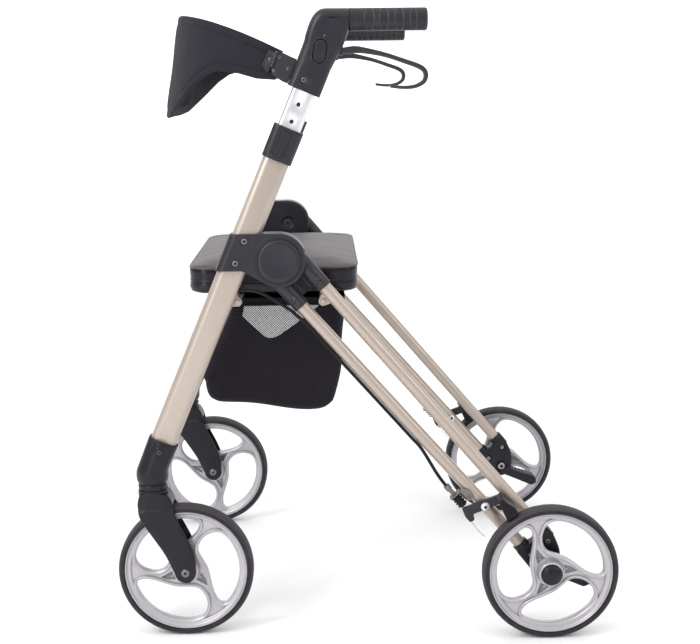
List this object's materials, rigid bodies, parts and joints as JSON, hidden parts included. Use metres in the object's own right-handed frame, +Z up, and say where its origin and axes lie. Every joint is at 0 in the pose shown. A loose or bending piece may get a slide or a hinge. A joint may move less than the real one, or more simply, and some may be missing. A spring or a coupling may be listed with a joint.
{
  "type": "rollator",
  "caption": "Folding wheeled walking frame with swivelling front wheels, padded seat, hanging bag, curved back strap, height-adjustable handles and loop brake levers.",
  "frame": {"origin": "on the floor, midway between the front and rear axles and midway between the two sides", "axes": "+X from the front wheels towards the user at the handles, +Y to the right-hand side piece set, +Z up"},
  "size_m": [0.7332, 0.6248, 0.9062],
  "materials": {
    "champagne": "champagne gold satin lacquer on aluminium tube",
    "silver": "clear anodised, satin",
    "black_plastic": "moulded black nylon, satin",
    "black_steel": "black powder coat",
    "rim_plastic": "silver-grey moulded plastic, satin",
    "tyre": "solid soft rubber, dark grey",
    "grip": "black moulded rubber, matt",
    "rubber": "black rubber, matt",
    "seat_vinyl": "dark leatherette with a fine grain",
    "fabric": "black woven fabric",
    "steel": "zinc plated, bright",
    "board": "black panel"
  },
  "bodies": {
    "frame": {"front_tube_left": "champagne", "front_tube_right": "champagne", "height_collar_left": "black_plastic", "height_collar_right": "black_plastic", "hinge_bracket_left": "black_plastic", "hinge_bracket_right": "black_plastic", "hinge_cap_left": "black_plastic", "hinge_cap_right": "black_plastic", "caster_housing_left": "black_plastic", "caster_housing_right": "black_plastic", "brake_cable_left": "rubber", "brake_cable_right": "rubber", "front_cross_bar": "champagne", "bag": "fabric"},
    "rear_frame": {"leg_socket_left": "black_plastic", "leg_socket_right": "black_plastic", "rear_upper_tube_left": "champagne", "rear_upper_tube_right": "champagne", "rear_lower_tube_left": "champagne", "rear_lower_tube_right": "champagne", "axle_bracket_left": "black_plastic", "axle_bracket_right": "black_plastic", "rear_axle_left": "black_plastic", "rear_axle_right": "black_plastic", "cable_stop_left": "steel", "cable_stop_right": "steel", "spring_boot_left": "rubber", "spring_boot_right": "rubber", "rear_cross_bar": "champagne"},
    "seat": {"seat_cushion": "seat_vinyl", "seat_board": "board"},
    "handles": {"handle_tube_left": "silver", "handle_tube_right": "silver", "handle_housing_left": "black_plastic", "handle_housing_right": "black_plastic", "grip_left": "grip", "grip_right": "grip", "backrest_hinge_left": "black_steel", "backrest_hinge_right": "black_steel", "backrest_strap": "fabric"},
    "height_button_left": {"height_button_left": "black_plastic"},
    "housing_button_left": {"housing_button_left": "black_plastic"},
    "brake_lever_left": {"brake_lever_left": "black_steel"},
    "brake_arm_left": {"brake_arm_left": "black_steel"},
    "caster_left": {"caster_fork_left": "black_plastic", "front_axle_left": "steel"},
    "front_wheel_left": {"front_rim_left": "rim_plastic", "front_tyre_left": "tyre"},
    "rear_wheel_left": {"rear_rim_left": "rim_plastic", "rear_tyre_left": "tyre"},
    "height_button_right": {"height_button_right": "black_plastic"},
    "housing_button_right": {"housing_button_right": "black_plastic"},
    "brake_lever_right": {"brake_lever_right": "black_steel"},
    "brake_arm_right": {"brake_arm_right": "black_steel"},
    "caster_right": {"caster_fork_right": "black_plastic", "front_axle_right": "steel"},
    "front_wheel_right": {"front_rim_right": "rim_plastic", "front_tyre_right": "tyre"},
    "rear_wheel_right": {"rear_rim_right": "rim_plastic", "rear_tyre_right": "tyre"}
  },
  "joints": [
    {"name": "fold", "type": "hinge", "parent": "frame", "child": "rear_frame", "pos_m": [-0.12045, 0, 0.55882], "axis": [0, 1, 0], "range_deg": [0, 38], "deforming": ["bag", "brake_cable_left", "brake_cable_right"]},
    {"name": "seat_flip", "type": "hinge", "parent": "frame", "child": "seat", "pos_m": [-0.18193, 0, 0.49711], "axis": [0, -1, 0], "range_deg": [0, 60]},
    {"name": "handle_height", "type": "slide", "parent": "frame", "child": "handles", "axis": [0.3928, 0, 0.9196], "range_m": [-0.0254, 0.0762]},
    {"name": "height_button_left", "type": "slide", "parent": "frame", "child": "height_button_left", "axis": [0, 1, 0], "range_m": [0, 0.0014], "stiffness_N_per_m": 600, "springref_m": -0.001},
    {"name": "housing_button_left", "type": "slide", "parent": "handles", "child": "housing_button_left", "axis": [0, 1, 0], "range_m": [0, 0.0014], "stiffness_N_per_m": 600, "springref_m": -0.001},
    {"name": "brake_lever_left", "type": "hinge", "parent": "handles", "child": "brake_lever_left", "pos_m": [-0.0306, -0.25, 0.8486], "axis": [0, -1, 0], "range_deg": [0, 12], "stiffness_Nm_per_rad": 1.5, "springref_deg": -11.46},
    {"name": "brake_arm_left", "type": "hinge", "parent": "rear_frame", "child": "brake_arm_left", "pos_m": [0.17423, -0.25, 0.19219], "axis": [0, 1, 0], "range_deg": [0, 2.5], "deforming": ["spring_boot_left"]},
    {"name": "caster_swivel_left", "type": "hinge", "parent": "frame", "child": "caster_left", "pos_m": [-0.3123, -0.25, 0.23], "axis": [0, 0, 1], "continuous": true},
    {"name": "front_wheel_spin_left", "type": "hinge", "parent": "caster_left", "child": "front_wheel_left", "pos_m": [-0.2671, -0.25, 0.09952], "axis": [0, 1, 0], "continuous": true},
    {"name": "rear_wheel_spin_left", "type": "hinge", "parent": "rear_frame", "child": "rear_wheel_left", "pos_m": [0.2671, -0.2876, 0.09952], "axis": [0, 1, 0], "continuous": true},
    {"name": "height_button_right", "type": "slide", "parent": "frame", "child": "height_button_right", "axis": [0, -1, 0], "range_m": [0, 0.0014], "stiffness_N_per_m": 600, "springref_m": -0.001},
    {"name": "housing_button_right", "type": "slide", "parent": "handles", "child": "housing_button_right", "axis": [0, -1, 0], "range_m": [0, 0.0014], "stiffness_N_per_m": 600, "springref_m": -0.001},
    {"name": "brake_lever_right", "type": "hinge", "parent": "handles", "child": "brake_lever_right", "pos_m": [-0.0306, 0.25, 0.8486], "axis": [0, -1, 0], "range_deg": [0, 12], "stiffness_Nm_per_rad": 1.5, "springref_deg": -11.46},
    {"name": "brake_arm_right", "type": "hinge", "parent": "rear_frame", "child": "brake_arm_right", "pos_m": [0.17423, 0.25, 0.19219], "axis": [0, 1, 0], "range_deg": [0, 2.5], "deforming": ["spring_boot_right"]},
    {"name": "caster_swivel_right", "type": "hinge", "parent": "frame", "child": "caster_right", "pos_m": [-0.3123, 0.25, 0.23], "axis": [0, 0, 1], "continuous": true},
    {"name": "front_wheel_spin_right", "type": "hinge", "parent": "caster_right", "child": "front_wheel_right", "pos_m": [-0.2671, 0.25, 0.09952], "axis": [0, 1, 0], "continuous": true},
    {"name": "rear_wheel_spin_right", "type": "hinge", "parent": "rear_frame", "child": "rear_wheel_right", "pos_m": [0.2671, 0.2876, 0.09952], "axis": [0, 1, 0], "continuous": true}
  ],
  "couplings": [
    {"joint": "brake_arm_left", "follows": "brake_lever_left", "ratio": 0.18},
    {"joint": "brake_arm_right", "follows": "brake_lever_right", "ratio": 0.18}
  ]
}
